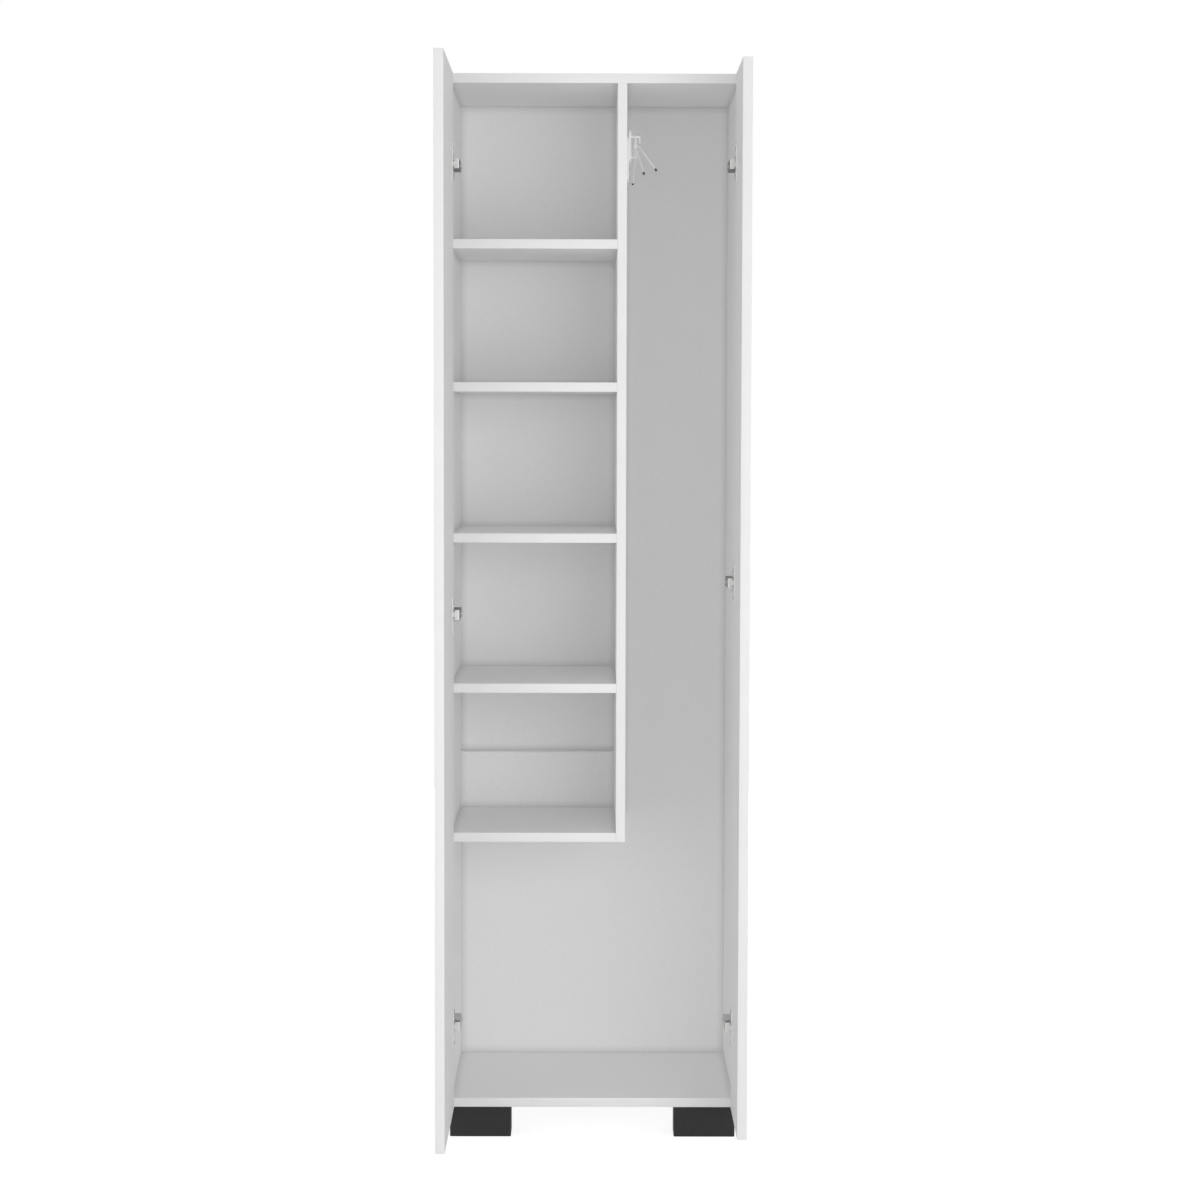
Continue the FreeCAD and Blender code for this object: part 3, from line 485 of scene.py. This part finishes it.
# ---- operators -------------------------------------------------------------------------------
class CUPBOARD_OT_boards(bpy.types.Operator):
    """Give the boards and doors white melamine faces, with bare chipboard at the back edges"""
    bl_idname = "cupboard.boards"
    bl_label = "Board finish"
    cloud_size = 0.35
    chip_size = 0.0016
    darkest_chip, lightest_chip = 0.55, 1.35
    wear_size = 0.02
    wear = 0.05                     # how far the roughness departs from its middle

    def execute(self, context):
        board = context.scene.cupboard.board
        recipe = Recipe("white_melamine", Specular_IOR_Level=0.15)
        clouds = recipe.vary(recipe.noise(self.cloud_size, detail=1.0), 0.995, 1.005)
        tone = recipe.times(recipe.speckle(board), clouds)
        # The corner factor is painted shade: it darkens the face's colour in the inner corners.
        face = recipe.shade(board.colour, recipe.times(tone, recipe.painted_corner_shade(board)))
        flecks = recipe.flecks(self.chip_size)
        chips = recipe.spread(flecks, 0.0, 1.0, self.darkest_chip, self.lightest_chip)
        core = recipe.shade(board.core_colour, chips)
        rear_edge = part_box("left_side")[1].y - SKIN
        recipe.feed("Base Color", recipe.choose(recipe.behind(rear_edge), face, core))
        worn = recipe.noise(self.wear_size, detail=3.0)
        recipe.feed("Roughness",
                    recipe.vary(worn, board.roughness - self.wear, board.roughness + self.wear))
        recipe.feed("Normal", recipe.pressed_face(board))
        finish(BOARDS, recipe.material)
        return {"FINISHED"}


class CUPBOARD_OT_edge_strips(bpy.types.Operator):
    """Lay plastic strips over the boards' seen edges"""
    bl_idname = "cupboard.edge_strips"
    bl_label = "Edge strips"
    cloud_size = 0.05
    sheen_size = 0.01
    grain_size = 0.001
    grain_height = 0.00001

    def straight(self, node, strip, across, normal, start, end):
        """Strip along a straight edge between two points of the edge's middle line."""
        low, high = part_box(node)
        half = (high - low).dot([abs(v) for v in across]) / 2
        path = np.array([start, end], float) - np.array(normal, float) * strip.reach
        normals = np.array([normal, normal], float)
        points = carried(path, normals, across, strip_profile(half, strip))
        return tube_mesh(node, points, closed=False)

    def front_edge(self, node, strip, upright):
        """Strip along the middle of a board's front edge, upright or from side to side."""
        low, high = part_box(node)
        middle = (low + high) / 2
        if upright:
            return self.straight(node, strip, RIGHTWARD, FORWARD,
                                 (middle.x, low.y, low.z), (middle.x, low.y, high.z))
        return self.straight(node, strip, UPWARD, FORWARD,
                             (high.x, low.y, middle.z), (low.x, low.y, middle.z))

    def round_panel(self, node, strip):
        """Strip round the two ends and the front of a panel that covers the sides."""
        low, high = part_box(node)
        inset = strip.reach
        z = (low.z + high.z) / 2
        corners = [(high.x - inset, high.y, z), (high.x - inset, low.y + inset, z),
                   (low.x + inset, low.y + inset, z), (low.x + inset, high.y, z)]
        ways = [(RIGHTWARD, RIGHTWARD), (RIGHTWARD, FORWARD),
                (FORWARD, LEFTWARD), (LEFTWARD, LEFTWARD)]
        path, normals = round_corners(corners, ways)
        profile = strip_profile((high.z - low.z) / 2, strip)
        return tube_mesh(node, carried(path, normals, UPWARD, profile), closed=False)

    def under_divider(self, node, strip):
        """Strip along the divider's foot and up its front."""
        low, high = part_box(node)
        inset = strip.reach
        x = (low.x + high.x) / 2
        corners = [(x, high.y, low.z + inset), (x, low.y + inset, low.z + inset),
                   (x, low.y + inset, high.z)]
        ways = [(DOWNWARD, DOWNWARD), (DOWNWARD, FORWARD), (FORWARD, FORWARD)]
        path, normals = round_corners(corners, ways)
        profile = strip_profile((high.x - low.x) / 2, strip)
        return tube_mesh(node, carried(path, normals, RIGHTWARD, profile), closed=False)

    def round_door(self, node, strip):
        """Strip round all four edges of an open door."""
        low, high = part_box(node)
        inset = strip.reach
        x = (low.x + high.x) / 2
        front, back = low.y + inset, high.y - inset
        bottom, top = low.z + inset, high.z - inset
        corners = [(x, back, bottom), (x, front, bottom), (x, front, top), (x, back, top)]
        ways = [(BACKWARD, DOWNWARD), (DOWNWARD, FORWARD), (FORWARD, UPWARD), (UPWARD, BACKWARD)]
        path, normals = round_corners(corners, ways)
        profile = strip_profile((high.x - low.x) / 2, strip)
        return tube_mesh(node, carried(path, normals, RIGHTWARD, profile), closed=True)

    def on_rail(self, node, strip):
        """Strip along the top edge of the rail."""
        low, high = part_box(node)
        y = (low.y + high.y) / 2
        return self.straight(node, strip, FORWARD, UPWARD, (high.x, y, high.z), (low.x, y, high.z))

    def execute(self, context):
        strip = context.scene.cupboard.strip
        recipe = Recipe("white_strip", Specular_IOR_Level=0.25)
        tone = recipe.vary(recipe.noise(self.cloud_size), 0.99, 1.01)
        recipe.feed("Base Color", recipe.shade(strip.colour, tone))
        recipe.feed("Roughness", recipe.vary(recipe.noise(self.sheen_size), 0.34, 0.42))
        recipe.feed("Normal", recipe.relief(self.grain_height, recipe.noise(self.grain_size)))
        shelves = [self.front_edge(node, strip, upright=False) for node in SHELVES]
        sides = [self.front_edge(node, strip, upright=True) for node in SIDE_BOARDS]
        pieces = {
            "shelf_edge_strips": ("carcass", shelves + [self.on_rail("back_rail", strip)]),
            "panel_edge_strips": ("carcass", [self.round_panel(node, strip) for node in PANELS]),
            "upright_edge_strips": ("carcass", sides + [self.under_divider("divider", strip)]),
            "left_door_edge_strip": ("left_door", [self.round_door("left_door", strip)]),
            "right_door_edge_strip": ("right_door", [self.round_door("right_door", strip)]),
        }
        for name, (body, meshes) in pieces.items():
            piece = joined(name, meshes)
            piece.data.materials.append(recipe.material)
            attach(piece, body)
        return {"FINISHED"}


class CUPBOARD_OT_back_sheet(bpy.types.Operator):
    """Give the back sheet a lacquered face inside and a bare fibre face outside"""
    bl_idname = "cupboard.back_sheet"
    bl_label = "Back sheet finish"
    fibre_size = 0.004
    blotch_size = 0.08
    lacquer_roughness = 0.5
    fibre_roughness = 0.8

    def execute(self, context):
        back = context.scene.cupboard.back
        board = context.scene.cupboard.board
        recipe = Recipe("lacquered_hardboard", Specular_IOR_Level=0.15)
        # The corner factor is painted shade: it darkens the inner face's colour in its corners.
        tone = recipe.times(recipe.speckle(board), recipe.painted_corner_shade(board))
        inner = recipe.shade(back.inner_colour, tone)
        fibres = recipe.noise(self.fibre_size, detail=6.0, roughness=0.75)
        blotches = recipe.noise(self.blotch_size, detail=3.0)
        pressed = recipe.times(recipe.spread(fibres, *FULL_NOISE_RANGE, 0.78, 1.2),
                               recipe.vary(blotches, 0.93, 1.07))
        outer = recipe.shade(back.outer_colour, pressed)
        mask = recipe.behind(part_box("back_panel")[0].y + SKIN)
        recipe.feed("Base Color", recipe.choose(mask, inner, outer))
        recipe.feed("Roughness",
                    recipe.spread(mask, 0.0, 1.0, self.lacquer_roughness, self.fibre_roughness))
        recipe.feed("Normal", recipe.pressed_face(board))
        finish(["back_panel"], recipe.material)
        return {"FINISHED"}


class CUPBOARD_OT_feet(bpy.types.Operator):
    """Give the feet their moulded charcoal plastic"""
    bl_idname = "cupboard.feet"
    bl_label = "Foot finish"
    cloud_size = 0.03
    grain_height = 0.00006
    wear = 0.06                     # how far the roughness departs from its middle

    def execute(self, context):
        foot = context.scene.cupboard.foot
        recipe = Recipe("charcoal_plastic", Specular_IOR_Level=0.3)
        grain = recipe.noise(foot.grain_size, detail=3.0, roughness=0.6)
        tone = recipe.times(recipe.vary(grain, 0.9, 1.1),
                            recipe.vary(recipe.noise(self.cloud_size), 0.94, 1.06))
        recipe.feed("Base Color", recipe.shade(foot.colour, tone))
        recipe.feed("Roughness",
                    recipe.vary(grain, foot.roughness - self.wear, foot.roughness + self.wear))
        recipe.feed("Normal", recipe.relief(self.grain_height, grain))
        finish(FEET, recipe.material)
        return {"FINISHED"}


class CUPBOARD_OT_hinges(bpy.types.Operator):
    """Give the hinges their satin nickel plating, with painted shade on the arms' sides, lighter on the
    bottom arms
    """
    bl_idname = "cupboard.hinges"
    bl_label = "Hinge finish"
    front_depth = 0.0012            # from an arm's foremost point to just behind its front; further back the sides get painted shade
    margin = 0.01                   # above the bottom arms, where the darker painted shade begins
    grain_size = 0.0012
    grain_stretch = (1.0, 0.12, 1.0)
    cloud_size = 0.012
    grain_height = 0.00001
    metallic = {"cup": 0.4, "arm": 1.0, "plate": 1.0}

    def coat(self, piece, colour, more_nodes=(), sides=None):
        """Finish one piece of every hinge; sides turns a tone into the painted shade on its sides."""
        recipe = Recipe(f"{piece}_nickel", Metallic=self.metallic[piece])
        drawn = recipe.noise(self.grain_size, detail=4.0, stretch=self.grain_stretch)
        tone = recipe.times(recipe.vary(drawn, 0.95, 1.04),
                            recipe.vary(recipe.noise(self.cloud_size), 0.93, 1.05))
        plating = recipe.shade(colour, tone)
        if sides:
            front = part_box("left_top_hinge_arm")[0].y + self.front_depth
            # Painted shade: behind the front, the arm's sides take a darker colour.
            plating = recipe.choose(recipe.behind(front), plating, sides(recipe, tone))
        recipe.feed("Base Color", plating)
        recipe.feed("Roughness", recipe.vary(drawn, 0.45, 0.55))
        recipe.feed("Normal", recipe.relief(self.grain_height, drawn))
        nodes = [f"{side}_{level}_hinge_{piece}" for side in SIDES for level in LEVELS]
        finish(nodes + list(more_nodes), recipe.material)

    def execute(self, context):
        metal = context.scene.cupboard.metal
        low_arms_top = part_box("left_bottom_hinge_arm")[1].z + self.margin

        def painted_side_shade(recipe, tone):
            """Painted shade on the arms' sides: lighter on the bottom arms, darker on those above them.
            """
            higher = recipe.above(recipe.part_of_place("Z"), low_arms_top)
            return recipe.shade(recipe.choose(higher, metal.low_arm_side_painted_shade, metal.arm_side_painted_shade), tone)

        self.coat("cup", metal.cup_colour)
        self.coat("arm", metal.nickel_colour, sides=painted_side_shade)
        self.coat("plate", metal.nickel_colour, ("left_hinge_pins", "right_hinge_pins"))
        return {"FINISHED"}


class CUPBOARD_OT_fasteners(bpy.types.Operator):
    """Give screws, nails, covers and dowels their finishes"""
    bl_idname = "cupboard.fasteners"
    bl_label = "Fastener finish"
    metal_nodes = (
        "left_cup_screws", "right_cup_screws", "hinge_plate_screws", "hinge_arm_screws",
        "hook_screws", "panel_screws", "shelf_screws", "foot_screws", "back_nails",
    )
    crystal_size = 0.0008
    crystal_height = 0.00001
    cover_grain_size = 0.0009
    cover_grain_height = 0.00002
    beech_colour = (0.62, 0.44, 0.26)
    fibre_size = 0.0012
    fibre_stretch = (0.1, 1.0, 0.1)

    def execute(self, context):
        settings = context.scene.cupboard
        zinc = Recipe("zinc_plate", Metallic=1.0)
        crystals = zinc.noise(self.crystal_size, detail=3.0)
        zinc.grained(settings.metal.zinc_colour, crystals, tone=(0.9, 1.08), roughness=(0.28, 0.4))
        zinc.feed("Normal", zinc.relief(self.crystal_height, crystals))
        finish(self.metal_nodes, zinc.material)

        cover = Recipe("cover_plastic", Specular_IOR_Level=0.4)
        grain = cover.noise(self.cover_grain_size)
        cover.grained(settings.board.colour, grain, tone=(0.98, 1.02), roughness=(0.4, 0.5))
        cover.feed("Normal", cover.relief(self.cover_grain_height, grain))
        finish(["screw_covers"], cover.material)

        beech = Recipe("beech")
        fibres = beech.noise(self.fibre_size, detail=4.0, stretch=self.fibre_stretch)
        beech.grained(self.beech_colour, fibres, tone=(0.8, 1.15), roughness=(0.55, 0.7))
        finish(["dowels"], beech.material)
        return {"FINISHED"}


class CUPBOARD_OT_hook(bpy.types.Operator):
    """Give the hook its bright plating and the arms' ends their soft black tips"""
    bl_idname = "cupboard.hook"
    bl_label = "Hook finish"
    haze_size = 0.006
    ripple_size = 0.002
    ripple_height = 0.00001
    tip_grain_size = 0.0007
    tip_grain_height = 0.00003

    def execute(self, context):
        metal = context.scene.cupboard.metal
        arms = [f"hook_{arm}_arm" for arm in HOOK_ARMS]
        plating = Recipe("bright_plating", Metallic=0.1, Specular_IOR_Level=0.8)
        haze = plating.noise(self.haze_size, detail=3.0)
        plating.grained(metal.chrome_colour, haze, tone=(0.97, 1.02), roughness=(0.35, 0.45))
        plating.feed("Normal", plating.relief(self.ripple_height, plating.noise(self.ripple_size)))
        finish(["hook_plate", "hook_pin"] + arms, plating.material)

        soft = Recipe("soft_tip", Specular_IOR_Level=0.35)
        grain = soft.noise(self.tip_grain_size, detail=3.0)
        soft.grained(metal.tip_colour, grain, tone=(0.85, 1.15), roughness=(0.6, 0.75))
        soft.feed("Normal", soft.relief(self.tip_grain_height, grain))
        finish([f"hook_{arm}_tip" for arm in HOOK_ARMS], soft.material)
        return {"FINISHED"}


class CUPBOARD_OT_stage(bpy.types.Operator):
    """Set the floor, the even light, the lamps and the camera"""
    bl_idname = "cupboard.stage"
    bl_label = "Stage"
    floor_lines = 3                 # of the floor's grid, along each side
    floor_tone = 0.75               # of the light the floor passes on
    shown_tone = 0.4                # where the floor is seen directly
    shown_glow = 0.84               # the floor's own light there
    front_lamp_size = 2.2
    outer_lamp_size = 1.4
    sensor_width = 36.0             # in millimetres
    far_limit = 100.0               # how far the camera sees

    def floor(self, stage):
        """Flat square: x and y run evenly over the grid, z is 0."""
        lines = self.floor_lines
        line = np.linspace(-stage.floor_size / 2, stage.floor_size / 2, lines)
        x, y = np.meshgrid(line, line, indexing="ij")
        points = np.stack([x, y, np.zeros_like(x)], axis=-1)
        row, column = np.meshgrid(np.arange(lines - 1), np.arange(lines - 1), indexing="ij")
        first = row * lines + column
        corners = [first, first + lines, first + lines + 1, first + 1]
        faces = np.stack(corners, axis=-1).reshape(-1, 4)
        mesh = bpy.data.meshes.new("floor")
        mesh.from_pydata(points.reshape(-1, 3).tolist(), [], faces.tolist())
        floor = bpy.data.objects.new("floor", mesh)
        bpy.context.scene.collection.objects.link(floor)
        mesh.materials.append(self.floor_material())

    def seen_directly(self, tree):
        """1 for rays from the camera, a mirror or glass."""
        path = tree.nodes.new("ShaderNodeLightPath")
        value = path.outputs["Is Camera Ray"]
        for name in ("Is Glossy Ray", "Is Transmission Ray"):
            either = tree.nodes.new("ShaderNodeMath")
            either.operation = "MAXIMUM"
            tree.links.new(value, either.inputs[0])
            tree.links.new(path.outputs[name], either.inputs[1])
            value = either.outputs[0]
        return value

    def either(self, tree, unseen, seen, output):
        """Feed an output with one shader, and with another where it is seen directly."""
        mix = tree.nodes.new("ShaderNodeMixShader")
        tree.links.new(self.seen_directly(tree), mix.inputs["Fac"])
        tree.links.new(unseen.outputs[0], mix.inputs[1])
        tree.links.new(seen.outputs[0], mix.inputs[2])
        tree.links.new(mix.outputs[0], output.inputs["Surface"])

    def floor_material(self):
        """Pale floor; seen directly it adds its own light, so that only the shadow shows on white."""
        material = bpy.data.materials.new("pale_floor")
        material.use_nodes = True
        tree = material.node_tree
        tree.nodes.clear()
        bounce = tree.nodes.new("ShaderNodeBsdfDiffuse")
        bounce.inputs["Color"].default_value = grey(self.floor_tone)
        shown = tree.nodes.new("ShaderNodeBsdfDiffuse")
        shown.inputs["Color"].default_value = grey(self.shown_tone)
        glow = tree.nodes.new("ShaderNodeEmission")
        glow.inputs["Strength"].default_value = self.shown_glow
        both = tree.nodes.new("ShaderNodeAddShader")
        tree.links.new(shown.outputs[0], both.inputs[0])
        tree.links.new(glow.outputs[0], both.inputs[1])
        self.either(tree, bounce, both, tree.nodes.new("ShaderNodeOutputMaterial"))
        return material

    def sky(self, stage):
        """Even light all round, white where it is seen directly."""
        world = bpy.data.worlds.new("even_light")
        world.use_nodes = True
        tree = world.node_tree
        tree.nodes.clear()
        light = tree.nodes.new("ShaderNodeBackground")
        light.inputs["Color"].default_value = WHITE
        light.inputs["Strength"].default_value = stage.sky
        white = tree.nodes.new("ShaderNodeBackground")
        white.inputs["Color"].default_value = WHITE
        self.either(tree, light, white, tree.nodes.new("ShaderNodeOutputWorld"))
        bpy.context.scene.world = world

    def lamp(self, name, power, size, place):
        """Square soft lamp at a place, aimed at the cupboard's middle."""
        data = bpy.data.lights.new(name, "AREA")
        data.shape = "SQUARE"
        data.size = size
        data.energy = power
        lamp = bpy.data.objects.new(name, data)
        lamp.location = place
        aim = Vector((0.0, 0.0, MIDDLE_HEIGHT)) - lamp.location
        lamp.rotation_euler = aim.to_track_quat("-Z", "Y").to_euler()
        lamp.visible_camera = False
        bpy.context.scene.collection.objects.link(lamp)

    def lamps(self, stage):
        """Two broad lamps in front, and three small ones behind that light only the outside."""
        broad, small = self.front_lamp_size, self.outer_lamp_size
        self.lamp("front_left_lamp", stage.key_power * stage.left_share, broad, (-1.5, -3.8, 1.0))
        self.lamp("front_right_lamp", stage.key_power, broad, (1.5, -3.8, 1.0))
        self.lamp("left_lamp", stage.fill_power, small, (-4.3, 1.8, 0.9))
        self.lamp("right_lamp", stage.fill_power, small, (4.3, 1.8, 0.9))
        self.lamp("rear_lamp", stage.fill_power, small, (0.0, 4.6, 0.9))

    def camera(self, stage):
        """Camera whose axes come from its turn, tilt and roll.

        Turn and tilt give the axis ahead and the level one, and above is square to both; right and
        up are level and above, weighted by the cosine and sine of the roll.
        """
        turn, tilt, roll = stage.turn, stage.tilt, stage.roll
        ahead = np.array([math.sin(turn) * math.cos(tilt), math.cos(turn) * math.cos(tilt),
                          math.sin(tilt)])
        level = np.array([math.cos(turn), -math.sin(turn), 0.0])
        above = np.cross(level, ahead)
        right = level * math.cos(roll) + above * math.sin(roll)
        up = above * math.cos(roll) - level * math.sin(roll)
        data = bpy.data.cameras.new("front_camera")
        data.sensor_width = self.sensor_width
        data.sensor_fit = "HORIZONTAL"
        data.lens = stage.lens
        data.clip_end = self.far_limit
        camera = bpy.data.objects.new("front_camera", data)
        matrix = Matrix.Identity(4)
        for column, axis in enumerate((right, up, -ahead, np.array(stage.eye))):
            for row in range(3):
                matrix[row][column] = float(axis[row])
        camera.matrix_world = matrix
        bpy.context.scene.collection.objects.link(camera)
        bpy.context.scene.camera = camera

    def execute(self, context):
        stage = context.scene.cupboard.stage
        self.floor(stage)
        self.sky(stage)
        self.lamps(stage)
        self.camera(stage)
        context.scene.view_settings.view_transform = "Standard"
        context.scene.cycles.diffuse_bounces = stage.bounces
        return {"FINISHED"}


OPERATORS = (
    CUPBOARD_OT_boards,
    CUPBOARD_OT_edge_strips,
    CUPBOARD_OT_back_sheet,
    CUPBOARD_OT_feet,
    CUPBOARD_OT_hinges,
    CUPBOARD_OT_fasteners,
    CUPBOARD_OT_hook,
    CUPBOARD_OT_stage,
)


class CUPBOARD_PT_panel(bpy.types.Panel):
    """Sizes, colours and steps of the cupboard"""
    bl_idname = "CUPBOARD_PT_panel"
    bl_label = "Broom cupboard"
    bl_space_type = "VIEW_3D"
    bl_region_type = "UI"
    bl_category = "Cupboard"

    def draw(self, context):
        settings = context.scene.cupboard
        for name, group in GROUPS.items():
            box = self.layout.box()
            box.label(text=name.capitalize())
            for key in group.__annotations__:
                box.prop(getattr(settings, name), key)
        for operator in OPERATORS:
            self.layout.operator(operator.bl_idname)


CLASSES = tuple(GROUPS.values()) + (CupboardSettings,) + OPERATORS + (CUPBOARD_PT_panel,)


def register():
    """Add the settings, operators and panel."""
    for item in CLASSES:
        bpy.utils.register_class(item)
    bpy.types.Scene.cupboard = bpy.props.PointerProperty(type=CupboardSettings)


def unregister():
    """Remove what register added."""
    del bpy.types.Scene.cupboard
    for item in reversed(CLASSES):
        bpy.utils.unregister_class(item)


def main():
    """Dress the model and set the stage."""
    register()
    bpy.ops.cupboard.boards()
    bpy.ops.cupboard.edge_strips()
    bpy.ops.cupboard.back_sheet()
    bpy.ops.cupboard.feet()
    bpy.ops.cupboard.hinges()
    bpy.ops.cupboard.fasteners()
    bpy.ops.cupboard.hook()
    bpy.ops.cupboard.stage()


if __name__ == "__main__":
    main()
